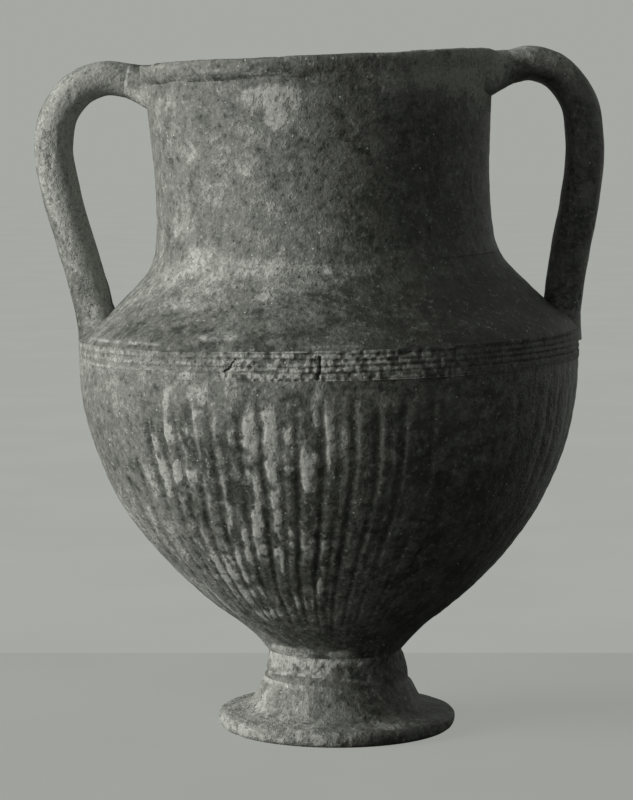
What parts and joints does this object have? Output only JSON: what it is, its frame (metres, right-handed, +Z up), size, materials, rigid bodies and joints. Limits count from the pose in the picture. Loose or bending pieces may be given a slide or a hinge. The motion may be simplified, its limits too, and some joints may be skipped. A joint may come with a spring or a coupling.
{
  "type": "two-handled jar",
  "caption": "Dark grey clay jar with a tall neck, folded lip, grooved band, ribbed bowl, trumpet foot and upright rope handles from lip to shoulder.",
  "frame": {"origin": "on the ground under the jar, midway between the outer edges of the two handles", "axes": "+Z up, +X towards the right handle as the picture shows it, -Y towards the front"},
  "size_m": [0.2699, 0.238, 0.3251],
  "materials": {
    "dark_clay": "matt burnished dark grey clay",
    "worn_clay": "matt grey clay with a thin pale lime film",
    "limed_clay": "rough grey clay with pale lime deposits"
  },
  "bodies": {
    "root": {"foot": "worn_clay", "stem_collar": "limed_clay", "belly": "dark_clay", "grooved_band": "limed_clay", "shoulder": "worn_clay", "neck": "dark_clay", "lip": "worn_clay", "left_handle": "worn_clay", "left_upper_wad": "worn_clay", "left_lower_wad": "worn_clay", "right_handle": "dark_clay", "right_upper_wad": "dark_clay", "right_lower_wad": "dark_clay"}
  },
  "joints": []
}
